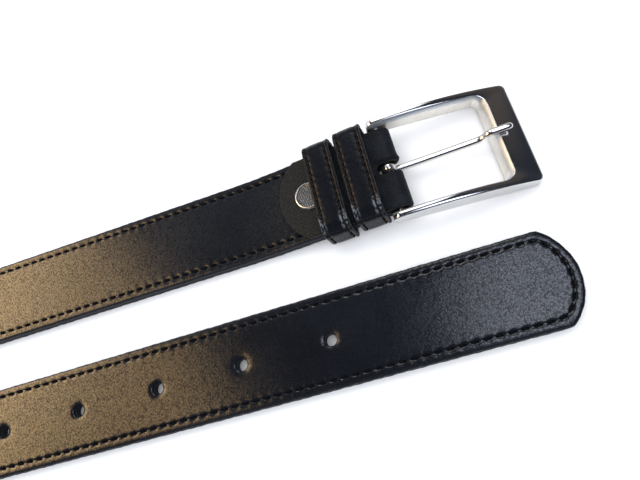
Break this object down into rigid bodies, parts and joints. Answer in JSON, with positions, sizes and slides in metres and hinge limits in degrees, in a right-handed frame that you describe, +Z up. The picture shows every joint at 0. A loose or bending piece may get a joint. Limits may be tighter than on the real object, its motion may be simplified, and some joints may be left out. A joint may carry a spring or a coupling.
{
  "type": "leather belt",
  "caption": "Black stitched leather dress belt with a chrome pin buckle, folded chape, two keepers and punched holes, lying open on a table.",
  "frame": {"origin": "on the table, below the centre of the belt's bounding box", "axes": "+X towards the strap's tip and the buckle, +Y from the tip end towards the buckle end, +Z up, out of the strap's face"},
  "size_m": [0.5128, 0.116, 0.0303],
  "materials": {
    "strap_leather": "smooth black leather, satin",
    "backing_leather": "black split leather, matt",
    "thread": "waxed black thread",
    "chape_leather": "dark grey-brown flesh side, matt; grained black around the bar",
    "keeper_leather": "polished black leather with raw edges",
    "rivet_metal": "nickel-plated, knurled middle",
    "staple_wire": "bright wire",
    "buckle_chrome": "mirror-polished chrome plate"
  },
  "bodies": {
    "tip_end": {"strap_leather_tip": "strap_leather", "strap_backing_tip": "backing_leather", "strap_stitching_tip": "thread"},
    "strap_loop": {"strap_leather_loop": "strap_leather", "strap_backing_loop": "backing_leather", "strap_stitching_loop": "thread"},
    "buckle_end": {"strap_leather_buckle": "strap_leather", "strap_backing_buckle": "backing_leather", "strap_stitching_buckle": "thread", "chape": "chape_leather", "rivet_cap": "rivet_metal", "rivet_post": "rivet_metal"},
    "rear_keeper": {"keeper_rear": "keeper_leather", "keeper_rear_stitching": "thread", "keeper_rear_staple": "staple_wire"},
    "front_keeper": {"keeper_front": "keeper_leather", "keeper_front_stitching": "thread", "keeper_front_staple": "staple_wire"},
    "buckle": {"buckle_frame": "buckle_chrome", "buckle_bar": "buckle_chrome"},
    "prong": {"prong": "buckle_chrome"}
  },
  "joints": [
    {"name": "tip_flex", "type": "hinge", "parent": "strap_loop", "child": "tip_end", "pos_m": [0.02821, -0.0241, 0.0042], "axis": [0, -1, 0], "range_deg": [0, 35], "stiffness_Nm_per_rad": 0.1},
    {"name": "buckle_flex", "type": "hinge", "parent": "strap_loop", "child": "buckle_end", "pos_m": [0.02821, 0.0241, 0.0042], "axis": [0, -1, 0], "range_deg": [0, 35], "stiffness_Nm_per_rad": 0.1},
    {"name": "front_keeper_slide", "type": "slide", "parent": "buckle_end", "child": "front_keeper", "axis": [-0.9954, 0, -0.0958], "range_m": [0, 0.0045]},
    {"name": "rear_keeper_slide", "type": "slide", "parent": "front_keeper", "child": "rear_keeper", "axis": [-0.9954, 0, -0.0958], "range_m": [-0.0012, 0.006]},
    {"name": "buckle_swing", "type": "hinge", "parent": "buckle_end", "child": "buckle", "pos_m": [0.21152, 0.0241, 0.00735], "axis": [0, -1, 0], "range_deg": [0, 45]},
    {"name": "prong_swing", "type": "hinge", "parent": "buckle", "child": "prong", "pos_m": [0.21152, 0.0241, 0.00735], "axis": [0, -1, 0], "range_deg": [0, 70]}
  ]
}
